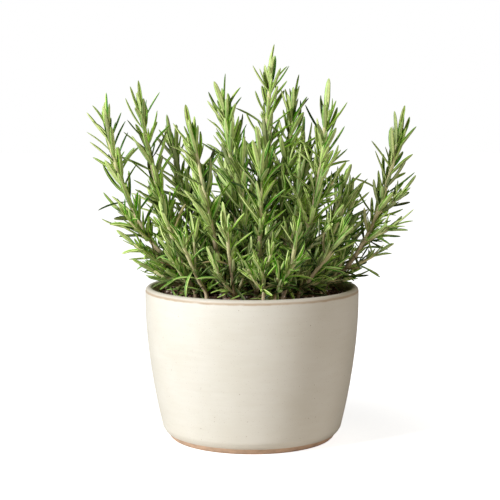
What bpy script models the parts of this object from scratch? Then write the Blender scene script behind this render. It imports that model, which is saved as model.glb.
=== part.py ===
"""Potted rosemary: a glazed stoneware pot, its potting soil and the leafy stems that root in the soil.

Metres, +Z up. The origin is the centre of the pot's underside, on the surface that the pot stands on,
and the front of the plant faces -Y.
"""

import math
from collections import namedtuple

import bmesh
import bpy
import numpy as np
from mathutils import Matrix, Vector, noise

MM = 0.001

# Clearance between touching pieces, and the distance under which points are one
GAP = 0.3 * MM
MERGE = 0.01 * MM
SHARP_ANGLE = math.radians(40)

# Pot: upright at the rim, its wall drawn in towards the foot by a power of the depth below the rim
RIM_RADIUS = 80 * MM
POT_HEIGHT = 114 * MM
WALL = 6 * MM
FLOOR = 9 * MM
BELLY_TOP = 103 * MM
BELLY_TUCK = 14.6 * MM
BELLY_POWER = 1.8
FLOOR_CORNER = 12 * MM

# The bare foot, and the rounded edge where the wall tucks in to it
FOOT_RADIUS = 61.7 * MM
FOOT_BAND = 4 * MM
EDGE_ROUND = 6 * MM
EDGE_TUCK = 2 * MM

# How finely the pot is divided: around, and along each stretch of its profile
POT_SIDES = 60
LIP_STEPS = 6
OUTER_STEPS = 8
EDGE_STEPS = 3
INNER_STEPS = 5
CORNER_STEPS = 4

# Soil, which ends a little under the rim
SOIL_LEVEL = 105 * MM
SOIL_MOUND = 2.5 * MM
SOIL_BUMP = 1.2 * MM
SOIL_BUMP_SIZE = 14 * MM
SOIL_SIDES = 48
SOIL_RINGS = 6

# Stems: how deep they are rooted, and how far they rise before they lean
ROOTED = 10 * MM
UPRIGHT = 5 * MM
STEM_FOOT_RADIUS = 1.9 * MM
STEM_TIP_RADIUS = 1.1 * MM
ROUTE_STEPS = 90
SOCKET_RADIUS = STEM_FOOT_RADIUS + 2 * GAP
SOCKET_SIDES = 8

# Needle leaves, in pairs on collars of the stem: wide open below, closing up towards the tip
BARE_PART = 0.16
NODE_SPACING = 12.5 * MM
FEWEST_PAIRS = 3
COLLAR = 2.2 * MM
LEAF_LENGTH = 27 * MM
LEAF_WIDTH = 2.8 * MM
LEAF_THICKNESS = 1.3 * MM
LEAF_MIDDLE = 0.55
TOP_LEAF_SHARE = 0.8
LOW_LEAF_ANGLE = math.radians(56)
TOP_LEAF_ANGLE = math.radians(20)
BUD_LENGTH = 9 * MM

# Where a needle finds no room it is turned or shortened, in this order (angles in degrees)
LEAF_SHARES = (1, 0.8, 0.62)
LEAF_SWINGS = (0, 14, -14, 28, -28)
LEAF_OPENINGS = (0, 9, -9)
LEAF_CLEARANCE = 2 * GAP

# The part of a needle next to its stem, which needs no room of its own, and how closely the rest is tested
LEAF_ROOT = 0.3
LEAF_SAMPLES = 13

# A stem's first rings are its root end, the soil line and the end of its upright part
FIRST_COLLAR = 3

Stem = namedtuple("Stem", "foot knee tip")

# Millimetres. A stem leaves the soil at its foot, heads for its knee and turns up to its tip.
STEMS = {
    "stem_far_left": Stem((-35, -12), (-97, -12, 150), (-107, -12, 243)),
    "stem_left": Stem((-29, 2), (-72, 0, 158), (-82, -5, 252)),
    "stem_left_rear": Stem((-31, 17), (-50, 20, 170), (-63, 30, 226)),
    "stem_left_front": Stem((-20, -30), (-28, -36, 160), (-45, -44, 236)),
    "stem_centre_left": Stem((-9, 4), (-12, 5, 190), (-22, 5, 258)),
    "stem_tallest": Stem((2, 10), (10, 9, 190), (14, 10, 279)),
    "stem_front_centre": Stem((3, -38), (8, -48, 165), (5, -54, 220)),
    "stem_centre_right": Stem((13, 18), (27, 17, 190), (31, 18, 258)),
    "stem_right_rear": Stem((25, 26), (44, 30, 190), (38, 35, 228)),
    "stem_right": Stem((28, -20), (49, -26, 170), (54, -34, 254)),
    "stem_far_right": Stem((52, -4), (94, -6, 138), (110, -6, 234)),
    "stem_mid_right_rear": Stem((37, 13), (62, 17, 152), (72, 24, 195)),
    "stem_mid_right": Stem((39, -9), (62, -8, 155), (75, -6, 188)),
    "stem_mid_right_front": Stem((34, -29), (55, -38, 138), (67, -48, 165)),
    "young_stem_front_right": Stem((16, -50), (22, -57, 128), (37, -68, 147)),
    "young_stem_front_left": Stem((8, -53), (10, -58, 126), (3, -68, 143)),
    "young_stem_low_left": Stem((-43, -4), (-63, -6, 124), (-80, -8, 141)),
    "young_stem_front_far_left": Stem((-33, -34), (-44, -44, 134), (-54, -56, 163)),
    "stem_front_mid_left": Stem((-13, -44), (-15, -56, 140), (-20, -66, 176)),
    "stem_front_mid_right": Stem((23, -38), (30, -54, 140), (33, -66, 172)),
    "stem_mid_left": Stem((-42, -21), (-56, -28, 140), (-67, -38, 186)),
    "stem_rear_left": Stem((-25, 36), (-40, 52, 160), (-48, 70, 216)),
    "stem_rear_centre_left": Stem((-9, 33), (-14, 48, 170), (-16, 62, 234)),
    "stem_rear_centre": Stem((8, 35), (10, 50, 170), (15, 64, 242)),
    "stem_rear_right": Stem((27, 40), (46, 56, 160), (59, 76, 212)),
    "stem_rear_far_right": Stem((43, 26), (68, 40, 140), (82, 54, 184)),
    "stem_rear_far_left": Stem((-42, 25), (-66, 42, 140), (-80, 56, 190)),
    "young_stem_rear_left": Stem((-24, 50), (-36, 74, 126), (-44, 94, 158)),
    "young_stem_rear_right": Stem((20, 52), (26, 76, 128), (32, 98, 164)),
    "stem_centre": Stem((-5, -13), (-6, -14, 170), (-9, -15, 218)),
    "stem_middle_right": Stem((20, 0), (34, 0, 160), (37, 2, 208)),
}


def material(name, colour, roughness):
    """A plain Principled material of this colour and roughness."""
    made = bpy.data.materials.new(name)
    made.use_nodes = True
    made.diffuse_color = (*colour, 1)
    shader = made.node_tree.nodes["Principled BSDF"]
    shader.inputs["Base Color"].default_value = (*colour, 1)
    shader.inputs["Roughness"].default_value = roughness
    shader.inputs["Metallic"].default_value = 0
    return made


def add_object(name, shape, finish=None):
    """Turn a bmesh into a named object of the scene, faces outwards."""
    bmesh.ops.recalc_face_normals(shape, faces=shape.faces)
    mesh = bpy.data.meshes.new(name)
    shape.to_mesh(mesh)
    shape.free()
    made = bpy.data.objects.new(name, mesh)
    bpy.context.collection.objects.link(made)
    if finish:
        mesh.materials.append(finish)
    return made


def turned(profile, sides):
    """Spin a profile of (radius, height) points, which starts and ends on the axis, into a closed body."""
    shape = bmesh.new()
    points = [shape.verts.new((radius, 0, height)) for radius, height in profile]
    edges = [shape.edges.new(pair) for pair in zip(points, points[1:])]
    full_turn = {"cent": (0, 0, 0), "axis": (0, 0, 1), "angle": math.tau, "steps": sides, "use_merge": True}
    bmesh.ops.spin(shape, geom=points + edges, **full_turn)
    bmesh.ops.remove_doubles(shape, verts=shape.verts, dist=MERGE)
    return shape


def arc(centre_radius, centre_height, size, start, end, steps):
    """Points of a round stretch of a profile, by angle in degrees from straight out."""
    angles = [math.radians(start + (end - start) * step / steps) for step in range(steps + 1)]
    return [(centre_radius + size * math.cos(a), centre_height + size * math.sin(a)) for a in angles]


def heights(start, end, steps):
    """Evenly spaced heights from start to end, both included."""
    return [start + (end - start) * step / steps for step in range(steps + 1)]


def wall_radius(height):
    """Outer radius of the pot at a height: upright at the rim, drawn in more and more towards the foot."""
    belly = max(BELLY_TOP - height, 0) / BELLY_TOP
    edge = max(FOOT_BAND + EDGE_ROUND - height, 0) / EDGE_ROUND
    return RIM_RADIUS - BELLY_TUCK * belly**BELLY_POWER - EDGE_TUCK * edge**2


def hollow_profile(clearance, top):
    """Inside of the pot from the middle of its floor up to a height, moved in by a clearance."""
    floor = FLOOR + clearance
    corner_height = floor + FLOOR_CORNER
    corner_radius = wall_radius(corner_height) - WALL - clearance - FLOOR_CORNER
    corner = arc(corner_radius, corner_height, FLOOR_CORNER, -90, 0, CORNER_STEPS)
    wall = [(wall_radius(z) - WALL - clearance, z) for z in heights(corner_height, top, INNER_STEPS)[1:]]
    return [(0, floor)] + corner + wall


def make_pot(finish):
    """One fired piece: floor, bellied wall with a round lip, rounded lower edge and a plain foot."""
    lip_height = POT_HEIGHT - WALL / 2
    lip = arc(RIM_RADIUS - WALL / 2, lip_height, WALL / 2, 180, 0, LIP_STEPS)
    edge_top = FOOT_BAND + EDGE_ROUND
    outside = [(wall_radius(z), z) for z in heights(lip_height, edge_top, OUTER_STEPS)[1:]]
    lower_edge = [(wall_radius(z), z) for z in heights(edge_top, FOOT_BAND, EDGE_STEPS)[1:]]
    foot = [(FOOT_RADIUS, 0), (0, 0)]
    profile = hollow_profile(0, lip_height)[:-1] + lip + outside + lower_edge + foot
    pot = add_object("pot", turned(profile, POT_SIDES), finish)
    pot.data.shade_smooth()
    pot.data.set_sharp_from_angle(angle=SHARP_ANGLE)


def soil_height(x, y):
    """Height of the soil's surface: a little higher in the middle, and uneven."""
    spread = math.hypot(x, y) / (RIM_RADIUS - WALL)
    bump = SOIL_BUMP * noise.noise(Vector((x, y, 0)) / SOIL_BUMP_SIZE)
    return SOIL_LEVEL + SOIL_MOUND * (1 - spread**2) + bump


def socket_cutter():
    """The holes that the stems' rooted ends take up in the soil."""
    shape = bmesh.new()
    size = {"radius1": SOCKET_RADIUS, "radius2": SOCKET_RADIUS, "depth": 2 * (ROOTED + GAP)}
    for stem in STEMS.values():
        x, y = (value * MM for value in stem.foot)
        place = Matrix.Translation((x, y, soil_height(x, y)))
        bmesh.ops.create_cone(shape, cap_ends=True, segments=SOCKET_SIDES, matrix=place, **size)
    cutter = add_object("socket_cutter", shape)
    cutter.hide_render = True
    cutter.display_type = "WIRE"
    return cutter


def make_soil(finish):
    """The block of potting soil that fills the pot, with a socket for each stem."""
    hollow = hollow_profile(GAP, SOIL_LEVEL)
    edge = hollow[-1][0]
    rings = range(SOIL_RINGS - 1, -1, -1)
    surface = [(edge * ring / SOIL_RINGS, SOIL_LEVEL) for ring in rings]
    shape = turned(hollow + surface, SOIL_SIDES)
    for vertex in shape.verts:
        if vertex.co.z > SOIL_LEVEL - MERGE:
            vertex.co.z = soil_height(vertex.co.x, vertex.co.y)
    soil = add_object("soil", shape, finish)
    sockets = soil.modifiers.new("sockets", "BOOLEAN")
    sockets.operation = "DIFFERENCE"
    sockets.solver = "EXACT"
    sockets.object = socket_cutter()


def stem_route(stem):
    """Closely spaced points along a stem's middle, and how far along the stem each one is."""
    x, y = (value * MM for value in stem.foot)
    ground = soil_height(x, y)
    root = Vector((x, y, ground - ROOTED))
    foot = Vector((x, y, ground + UPRIGHT))
    knee = Vector(stem.knee) * MM
    tip = Vector(stem.tip) * MM
    shares = [step / ROUTE_STEPS for step in range(ROUTE_STEPS + 1)]
    points = [root] + [foot.lerp(knee, t).lerp(knee.lerp(tip, t), t) for t in shares]
    steps = [(b - a).length for a, b in zip(points, points[1:])]
    return np.array(points), np.concatenate([[0], np.cumsum(steps)]).tolist()


def leaf_stations(length):
    """How far along the stem each pair of leaves stands."""
    start = ROOTED + UPRIGHT + BARE_PART * (length - ROOTED)
    count = max(FEWEST_PAIRS, round((length - start) / NODE_SPACING))
    return np.linspace(start, length - 2 * COLLAR, count).tolist()


def ring_stations(length):
    """How far along the stem its rings are, up to the upper edge of the last leaf collar."""
    rings = [0, ROOTED, ROOTED + UPRIGHT]
    for station in leaf_stations(length):
        rings += [station - COLLAR / 2, station + COLLAR / 2]
    return rings


def stem_radius(share):
    """Radius of a stem at a share of its length."""
    return STEM_FOOT_RADIUS + (STEM_TIP_RADIUS - STEM_FOOT_RADIUS) * share


def at_stations(points, lengths, stations):
    """Points of a route at the given distances along it."""
    return [Vector([np.interp(s, lengths, points[:, axis]) for axis in range(3)]) for s in stations]


class Space:
    """The room that is taken up so far, as thick straight segments that belong to named stems."""

    def __init__(self):
        self.starts, self.ends, self.radii, self.owners = [], [], [], []

    def take(self, start, end, radius, owner):
        """Note a segment as taken up."""
        self.starts.append(np.array(start))
        self.ends.append(np.array(end))
        self.radii.append(radius)
        self.owners.append(owner)

    def is_free(self, samples, radius, ignored):
        """Whether a row of sample points with this radius keeps clear of all but the ignored owner's room."""
        others = [index for index, owner in enumerate(self.owners) if owner != ignored]
        starts = np.array(self.starts)[others]
        spans = np.array(self.ends)[others] - starts
        radii = np.array(self.radii)[others]
        for sample in samples:
            along = ((sample - starts) * spans).sum(axis=1) / (spans**2).sum(axis=1)
            nearest = starts + np.clip(along, 0, 1)[:, None] * spans
            room = np.linalg.norm(sample - nearest, axis=1) - radii - radius
            if room.min() < LEAF_CLEARANCE:
                return False
        return True


def clear_of_pot(samples, radius):
    """Whether a leaf stays above the soil and inside, or well above, the pot's rim."""
    margin = radius + LEAF_CLEARANCE
    for x, y, z in samples:
        if z - margin < soil_height(x, y) + SOIL_BUMP:
            return False
        if math.hypot(x, y) > RIM_RADIUS - WALL - margin and z < POT_HEIGHT + margin:
            return False
    return True


def stem_frames(centres, facing):
    """Direction along the stem and two directions across it at each ring, without twist."""
    frames = []
    sideways = Vector((math.cos(facing), math.sin(facing), 0))
    for before, after in zip([centres[0]] + centres[:-1], centres[1:] + [centres[-1]]):
        along = (after - before).normalized()
        sideways = (sideways - sideways.project(along)).normalized()
        frames.append((along, sideways, along.cross(sideways)))
    return frames


def square_ring(centre, frame, radius):
    """Corners of the stem's square section."""
    _, sideways, forwards = frame
    reach = radius / math.sqrt(2)
    turns = ((1, -1), (1, 1), (-1, 1), (-1, -1))
    return [centre + reach * (a * sideways + b * forwards) for a, b in turns]


def make_tube(shape, centres, frames, radii):
    """A square tube through the ring centres, its top drawn out to a bud. Returns each stretch's sides."""
    rings = []
    for centre, frame, radius in zip(centres, frames, radii):
        rings.append([shape.verts.new(corner) for corner in square_ring(centre, frame, radius)])
    walls = []
    for lower, upper in zip(rings, rings[1:]):
        corners = zip(lower, lower[1:] + lower[:1], upper[1:] + upper[:1], upper)
        walls.append([shape.faces.new(corner) for corner in corners])
    shape.faces.new(reversed(rings[0]))
    end = shape.faces.new(rings[-1])
    bud = bmesh.ops.extrude_discrete_faces(shape, faces=[end])["faces"][0]
    bmesh.ops.pointmerge(shape, verts=bud.verts, merge_co=centres[-1] + frames[-1][0] * BUD_LENGTH)
    shape.normal_update()
    return walls


def leaf_choices(outwards, along):
    """The ways a leaf may stand, the best one first: share of its length, side it leans to, extra opening."""
    sideways = along.cross(outwards)
    for share in LEAF_SHARES:
        for swing in map(math.radians, LEAF_SWINGS):
            side = outwards * math.cos(swing) + sideways * math.sin(swing)
            for opening in map(math.radians, LEAF_OPENINGS):
                yield share, side, opening


def place_leaf(space, owner, base, outwards, along, progress):
    """Find room for a leaf. Returns its middle, its tip and its thickness direction, or None without room."""
    angle = LOW_LEAF_ANGLE + (TOP_LEAF_ANGLE - LOW_LEAF_ANGLE) * progress**2
    full_length = LEAF_LENGTH * (1 + (TOP_LEAF_SHARE - 1) * progress)
    for share, side, opening in leaf_choices(outwards, along):
        direction = along * math.cos(angle + opening) + side * math.sin(angle + opening)
        tip = base + direction * full_length * share
        free_part = base.lerp(tip, LEAF_ROOT)
        samples = [np.array(free_part.lerp(tip, step / LEAF_SAMPLES)) for step in range(LEAF_SAMPLES + 1)]
        if clear_of_pot(samples, LEAF_WIDTH / 2) and space.is_free(samples, LEAF_WIDTH / 2, owner + "/stem"):
            space.take(free_part, tip, LEAF_WIDTH / 2, owner + "/leaves")
            return base.lerp(tip, LEAF_MIDDLE), tip, direction.cross(along.cross(side)).normalized()
    return None


def grow_leaf(shape, face, route, width_axis):
    """Pull a collar's side face out into a pointed needle, by way of its middle to its tip."""
    middle, tip, thickness_axis = route
    base = face.calc_center_median()
    blade = bmesh.ops.extrude_discrete_faces(shape, faces=[face])["faces"][0]
    for vertex in blade.verts:
        across = math.copysign(LEAF_WIDTH / 2, (vertex.co - base).dot(width_axis))
        through = math.copysign(LEAF_THICKNESS / 2, (vertex.co - base).dot(thickness_axis))
        vertex.co = middle + across * width_axis + through * thickness_axis
    point = bmesh.ops.extrude_discrete_faces(shape, faces=[blade])["faces"][0]
    bmesh.ops.pointmerge(shape, verts=point.verts, merge_co=tip)


def make_stem(name, stem, space, finish):
    """A square-sectioned stem with opposite pairs of needles, each pair a quarter turn from the last."""
    points, lengths = stem_route(stem)
    stations = ring_stations(lengths[-1])
    centres = at_stations(points, lengths, stations)
    frames = stem_frames(centres, math.atan2(stem.tip[1], stem.tip[0]))
    shape = bmesh.new()
    walls = make_tube(shape, centres, frames, [stem_radius(s / lengths[-1]) for s in stations])
    leafy_start = stations[FIRST_COLLAR]
    for order, index in enumerate(range(FIRST_COLLAR, len(walls), 2)):
        along, sideways, forwards = frames[index]
        progress = (stations[index] - leafy_start) / (lengths[-1] - leafy_start)
        directions = (sideways, forwards, -sideways, -forwards)
        for side in (order % 2, order % 2 + 2):
            face = walls[index][side]
            outwards = directions[side]
            route = place_leaf(space, name, face.calc_center_median(), outwards, along, progress)
            if route:
                grow_leaf(shape, face, route, along.cross(outwards))
    add_object(name, shape, finish)


def take_up_stems():
    """Note the room of every bare stem before any leaf looks for its own."""
    space = Space()
    for name, stem in STEMS.items():
        points, lengths = stem_route(stem)
        centres = at_stations(points, lengths, ring_stations(lengths[-1]) + [lengths[-1]])
        for start, end in zip(centres, centres[1:]):
            space.take(start, end, STEM_FOOT_RADIUS, name + "/stem")
        bud = (centres[-1] - centres[-2]).normalized() * BUD_LENGTH
        space.take(centres[-1], centres[-1] + bud, STEM_TIP_RADIUS, name + "/stem")
    return space


def main():
    """Empty the scene and build the potted plant."""
    for thing in list(bpy.data.objects):
        bpy.data.objects.remove(thing)
    glaze = material("cream_glazed_stoneware", (0.76, 0.71, 0.61), 0.45)
    earth = material("potting_soil", (0.05, 0.033, 0.024), 0.95)
    green = material("rosemary_green", (0.16, 0.27, 0.08), 0.55)
    make_pot(glaze)
    make_soil(earth)
    space = take_up_stems()
    for name, stem in STEMS.items():
        make_stem(name, stem, space, green)


main()
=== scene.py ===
"""Finish of a potted rosemary: the turned and glazed pot, the potting mix with what lies on it, and the
leafy stems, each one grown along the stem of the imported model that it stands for. Metres, +Z up, front
towards -Y."""

import math
from collections import namedtuple

import bmesh
import bpy
import numpy as np
from bpy.props import FloatProperty, FloatVectorProperty, IntProperty, PointerProperty
from bpy.types import Operator, Panel, PropertyGroup
from mathutils import Matrix, Vector, noise
from mathutils.bvhtree import BVHTree
from mathutils.kdtree import KDTree


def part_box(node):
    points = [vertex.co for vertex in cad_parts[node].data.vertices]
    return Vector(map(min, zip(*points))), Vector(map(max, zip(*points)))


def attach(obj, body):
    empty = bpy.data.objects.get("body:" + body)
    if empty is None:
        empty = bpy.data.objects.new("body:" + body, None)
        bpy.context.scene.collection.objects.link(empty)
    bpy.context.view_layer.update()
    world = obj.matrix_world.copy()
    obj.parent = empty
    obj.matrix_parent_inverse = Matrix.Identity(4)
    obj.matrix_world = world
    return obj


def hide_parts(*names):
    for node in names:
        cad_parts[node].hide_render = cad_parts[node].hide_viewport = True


bl_info = {
    "name": "Potted Rosemary",
    "version": (1, 0, 0),
    "blender": (4, 5, 0),
    "location": "3D View > Sidebar > Rosemary",
    "description": "Finishes the pot, the soil and the leafy stems of a potted rosemary",
    "category": "Object",
}

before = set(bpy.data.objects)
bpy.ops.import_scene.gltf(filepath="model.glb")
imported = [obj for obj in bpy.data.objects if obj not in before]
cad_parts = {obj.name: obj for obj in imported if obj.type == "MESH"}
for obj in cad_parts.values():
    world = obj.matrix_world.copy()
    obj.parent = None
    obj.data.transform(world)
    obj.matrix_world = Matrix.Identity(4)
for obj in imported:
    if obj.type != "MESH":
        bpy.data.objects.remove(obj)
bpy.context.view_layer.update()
_, pot_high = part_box("pot")
_, soil_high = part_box("soil")

MM = 0.001
BODY = "root"
MERGE = 0.01 * MM
SEED = 16

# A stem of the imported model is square: its ring's corners lie this near their middle, and it stands straight
# for this long before it leans
RING_CORNERS = 4
RING_REACH = 2.3 * MM
STRAIGHT_START = 17.5 * MM
STEM_STEP = 2.5 * MM
TIP_CUT = 3

# Along a needle: how far up it is, and its width there as a share of the widest
NEEDLE_SECTIONS = ((0, 0.34), (0.08, 0.5), (0.25, 0.9), (0.45, 1), (0.66, 0.98), (0.86, 0.76), (0.96, 0.4))

# Room that needles keep from the pot's wall, the soil and the lip, and how far they may hang down outside
WALL_CLEARANCE = 1.5 * MM
SOIL_CLEARANCE = 1.2 * MM
LIP_CLEARANCE = 1.8 * MM
LOWEST_HANG = 12 * MM

# Needles are low ones up to this height over the soil, and shaded ones within this height and distance from
# the axis
LOW_HEIGHT = 60 * MM
SHADED_HEIGHT = 130 * MM
SHADED_RADIUS = 75 * MM

# A needle's tone, from dark 0 to light 1: the usual one and its spread, and what a place at the tip, low down
# and deep in the bush adds to it. Deep in the bush the darkening is painted shade; low down it is partly older
# needles and partly painted shade
USUAL_TONE = 0.67
TONE_SPREAD = 0.46
TIP_TONE = 0.2
LOW_TONE = -0.48
SHADED_TONE = -0.5

# A needle's layout: where the middles of its upper side and underside lie across, and how far each reaches
UPPER_MIDDLE = 0.25
UNDER_MIDDLE = 0.75
SIDE_REACH = 0.245

# From this share of a stem its needles change to the length of those at the tip, which stand close together,
# each one turned on from the last
TIP_START = 0.72
TIP_NEEDLES = 6
TIP_NEEDLE_STEP = 2.2 * MM
TIP_TURN = 2.4

# How far a stem's line sways at its tip, how long a sway is, and where in the noise each direction's part is
SWAY = 0.9 * MM
SWAY_WIDTH = 26 * MM
SWAY_SHIFTS = (0, 40, 80)

# The last pair of needles stands this far under a tip, and a side shoot's first pair this far up it
LAST_PAIR = 4 * MM
SHOOT_BARE = 4 * MM

# Side shoots leave at this angle, up to this share of their stem. Shortest and longest, in millimetres
SHOOT_ANGLE = 0.72
SHOOT_TOP = 0.64
SHOOT_LENGTHS = (16, 44)

# Sizes of the loose bits, how deep the finished soil reaches and its divisions around
CRUMB_SIZES = (1.6 * MM, 3.6 * MM)
PERLITE_SIZES = (1.3 * MM, 3.4 * MM)
BARK_SIZES = (4 * MM, 8 * MM)
SOIL_DEPTH = 13 * MM
SOIL_STEPS = 210

# Degrees between two faces from which their edge stays crisp
POT_CREASE = 50
SOIL_CREASE = 60
BIT_CREASE = 35
LEAF_CREASE = 55

# The floor brightens to white between these distances from the pot's axis
FLOOR_FADE = (0.09, 0.21)

# Where the lamps and the camera stand, and what the lamps look at
KEY_PLACE = (-1.17, -0.84, 0.76)
FILL_PLACE = (1.3, -0.8, 0.6)
LIT_MIDDLE = (0, 0, 0.13)
CAMERA_ASIDE = -1.5 * MM

# For a pattern whose colour is not used, only its mask
PUTTY = (0.5, 0.5, 0.5)

Needle = namedtuple("Needle", "base along upper length width bend twist tone dryness")
Shoot = namedtuple("Shoot", "points radii youth")
Template = namedtuple("Template", "points faces uvs")


def stem_nodes():
    """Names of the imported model's stems, always in the same order."""
    return sorted(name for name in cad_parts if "stem" in name)


def soil_edge():
    """Radius and height of the packed soil's upper edge."""
    points = np.array([vertex.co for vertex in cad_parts["soil"].data.vertices])
    radii = np.hypot(points[:, 0], points[:, 1])
    upper = radii > radii.max() - 0.5 * MM
    return float(radii.max()), float(points[upper, 2].max())


soil_radius, soil_edge_height = soil_edge()


# ---- Settings ----


def size(name, about, default, **limits):
    """A length that the sidebar shows."""
    return FloatProperty(name=name, description=about, default=default, unit="LENGTH", precision=5, **limits)


def share(name, about, default, top=1.0):
    """A plain number from nothing to a top."""
    return FloatProperty(name=name, description=about, default=default, min=0, max=top)


def angle(name, about, degrees):
    """An angle that the sidebar shows in degrees."""
    return FloatProperty(name=name, description=about, default=math.radians(degrees), unit="ROTATION")


def count(name, about, default):
    """A number of things."""
    return IntProperty(name=name, description=about, default=default, min=0)


def colour(name, about, red, green, blue):
    """A linear colour."""
    settings = {"subtype": "COLOR", "size": 3, "min": 0, "max": 1}
    return FloatVectorProperty(name=name, description=about, default=(red, green, blue), **settings)


class PotLook(PropertyGroup):
    """Sizes and colours of the pot."""

    turning_steps: count("Turning Steps", "Divisions around the pot", 160)
    profile_step: size("Profile Step", "Distance between points of the turned profile", 1.1 * MM)
    ridge: size("Throwing Ridges", "Height of the faint ridges that fingers left in the wall", 0.07 * MM)
    fine_ridges: size("Fine Ridges", "Distance between the fine ridges", 3.2 * MM)
    broad_ridges: size("Broad Ridges", "Distance between the broad ridges", 9 * MM)
    foot_height: size("Foot Height", "Height of the band that is left bare of glaze", 4.2 * MM)
    glaze_thickness: size("Glaze Thickness", "How far the glaze stands proud of the bare foot", 0.35 * MM)
    glaze: colour("Glaze", "Main colour of the cream glaze", 0.83, 0.785, 0.690)
    glaze_pale: colour("Glaze, Thick", "Colour where the glaze lies thick", 0.87, 0.83, 0.750)
    speck: colour("Specks", "Iron specks in the glaze", 0.33, 0.22, 0.13)
    lip_line: colour("Lip Line", "Where the glaze runs thin under the lip", 0.50, 0.34, 0.20)
    clay: colour("Bare Clay", "Unglazed clay of the foot", 0.80, 0.55, 0.39)
    # Painted shade: the darker, browner colour that the inner wall is tinted towards in the pot's hollow
    inside: colour("Inside Glaze", "Shadowed glaze of the inner wall", 0.80, 0.62, 0.43)


class SoilLook(PropertyGroup):
    """Sizes and colours of the soil and of what lies on it."""

    ring_step: size("Ring Step", "Distance between the rings of the soil's surface", 1.3 * MM)
    heap: size("Heap", "How far the loose top of the soil rises over the packed block", 1.8 * MM)
    lump: size("Lump Height", "Height of the soil's clods", 2.6 * MM)
    lump_size: size("Lump Size", "Width of the soil's clods", 7 * MM)
    grain: size("Grain Height", "Height of the finer crumbs in the surface", 1.4 * MM)
    grain_size: size("Grain Size", "Width of the finer crumbs in the surface", 2.4 * MM)
    crumbs: count("Crumbs", "Loose crumbs of soil", 620)
    perlite: count("Perlite", "Bits of white perlite and grit", 320)
    bark: count("Bark", "Chips of bark", 60)
    fallen: count("Fallen Needles", "Needles that have dropped on the soil", 34)
    damp: colour("Damp Soil", "Dark colour of the mix", 0.055, 0.026, 0.017)
    dry: colour("Dry Soil", "Light colour of the mix", 0.240, 0.125, 0.085)
    perlite_white: colour("Perlite", "Colour of the perlite", 0.92, 0.84, 0.78)
    grit: colour("Grit", "Colour of the darkest perlite and grit", 0.55, 0.40, 0.31)
    bark_brown: colour("Bark", "Colour of the bark chips", 0.20, 0.095, 0.05)


class PlantLook(PropertyGroup):
    """Sizes, angles and colours of the stems and needles."""

    low_spacing: size("Low Spacing", "Distance between pairs of needles low on a stem", 6.5 * MM)
    top_spacing: size("Top Spacing", "Distance between pairs of needles at the tip", 3.7 * MM)
    low_length: size("Low Needles", "Length of the needles low on a stem", 25 * MM)
    full_length: size("Full Needles", "Length of the longest needles", 29 * MM)
    tip_length: size("Tip Needles", "Length of the needles at the tip", 25 * MM)
    needle_width: size("Needle Width", "Width of a needle", 3.6 * MM)
    low_opening: angle("Low Opening", "Angle between a low needle and its stem", 50)
    top_opening: angle("Top Opening", "Angle between a needle near the tip and its stem", 19)
    sheaf_length: size("Sheaf", "How far down from the tip the needles stand closed together", 30 * MM)
    root_depth: size("Root Depth", "How far the packed stems reach down into the soil", 10 * MM)
    bare_length: size("Bare Foot", "Length of bare wood from the root to the first needles", 12 * MM)
    basal_shoots: count("Low Shoots", "Side shoots at the foot of every stem", 3)
    tuft_chance: share("Tufts", "Chance of a tuft of small needles above a needle", 0.75)
    shoot_spacing: size("Side Shoots", "Distance between side shoots", 21 * MM)
    foot_radius: size("Stem Foot", "Radius of a stem at the soil", 2.0 * MM)
    tip_radius: size("Stem Tip", "Radius of a stem at its tip", 1.4 * MM)
    deep_green: colour("Deep Green", "Darkest upper side of a needle", 0.010, 0.050, 0.0)
    mid_green: colour("Green", "Usual upper side of a needle", 0.100, 0.480, 0.002)
    light_green: colour("Light Green", "Upper side of a young needle", 0.520, 0.930, 0.080)
    underside: colour("Underside", "Felted underside of a needle", 0.800, 1.0, 0.300)
    rib: colour("Rib", "Middle rib of a needle", 0.940, 1.0, 0.480)
    dried: colour("Dried", "Needles that have dried", 0.330, 0.215, 0.115)
    old_wood: colour("Old Wood", "Bark at the foot of a stem", 0.240, 0.165, 0.100)
    tan_wood: colour("Tan Wood", "Bark half way up a stem", 0.780, 0.620, 0.390)
    young_wood: colour("Young Wood", "Stem between the young needles", 0.790, 0.740, 0.390)


class StudioLook(PropertyGroup):
    """Floor, lights and camera."""

    floor: colour("Floor", "Colour of the floor", 0.86, 0.86, 0.86)
    bounce: share("Bounce", "Share of the floor's light that reaches the pot and the plant", 0.67)
    sky: share("Sky Light", "Strength of the even light from all round", 0.05, 10)
    key: FloatProperty(name="Key Light", description="Power of the large light on the left", default=27.3)
    fill: FloatProperty(name="Fill Light", description="Power of the light on the right", default=6.4)
    key_tint: colour("Key Tint", "Colour of the light on the left", 0.955, 0.985, 1)
    fill_tint: colour("Fill Tint", "Colour of the light on the right", 1, 0.93, 0.84)
    camera_distance: size("Camera Distance", "From the camera to the pot's axis", 1.0)
    camera_height: size("Camera Height", "Height of the camera over the floor", 0.2492)
    camera_pitch: angle("Camera Pitch", "Camera's tilt from straight down", 83.81)
    lens: FloatProperty(name="Lens", description="Focal length in millimetres", default=96.5)


# ---- Modelling by hand ----


def new_object(name, data):
    """A new object in the scene."""
    made = bpy.data.objects.new(name, data)
    bpy.context.collection.objects.link(made)
    return made


def select_only(thing):
    """Select one object, make it the active one and let go of all others."""
    bpy.ops.object.select_all(action="DESELECT")
    thing.select_set(True)
    bpy.context.view_layer.objects.active = thing


def scale_points(thing, wanted, factors):
    """Scale the vertices whose place passes a test."""
    mesh = thing.data
    for part in (*mesh.polygons, *mesh.edges):
        part.select = False
    for vertex in mesh.vertices:
        vertex.select = wanted(vertex.co)
    bpy.ops.object.mode_set(mode="EDIT")
    bpy.ops.mesh.select_mode(type="VERT")
    bpy.ops.transform.resize(value=factors, center_override=(0, 0, 0))
    bpy.ops.object.mode_set(mode="OBJECT")


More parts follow.
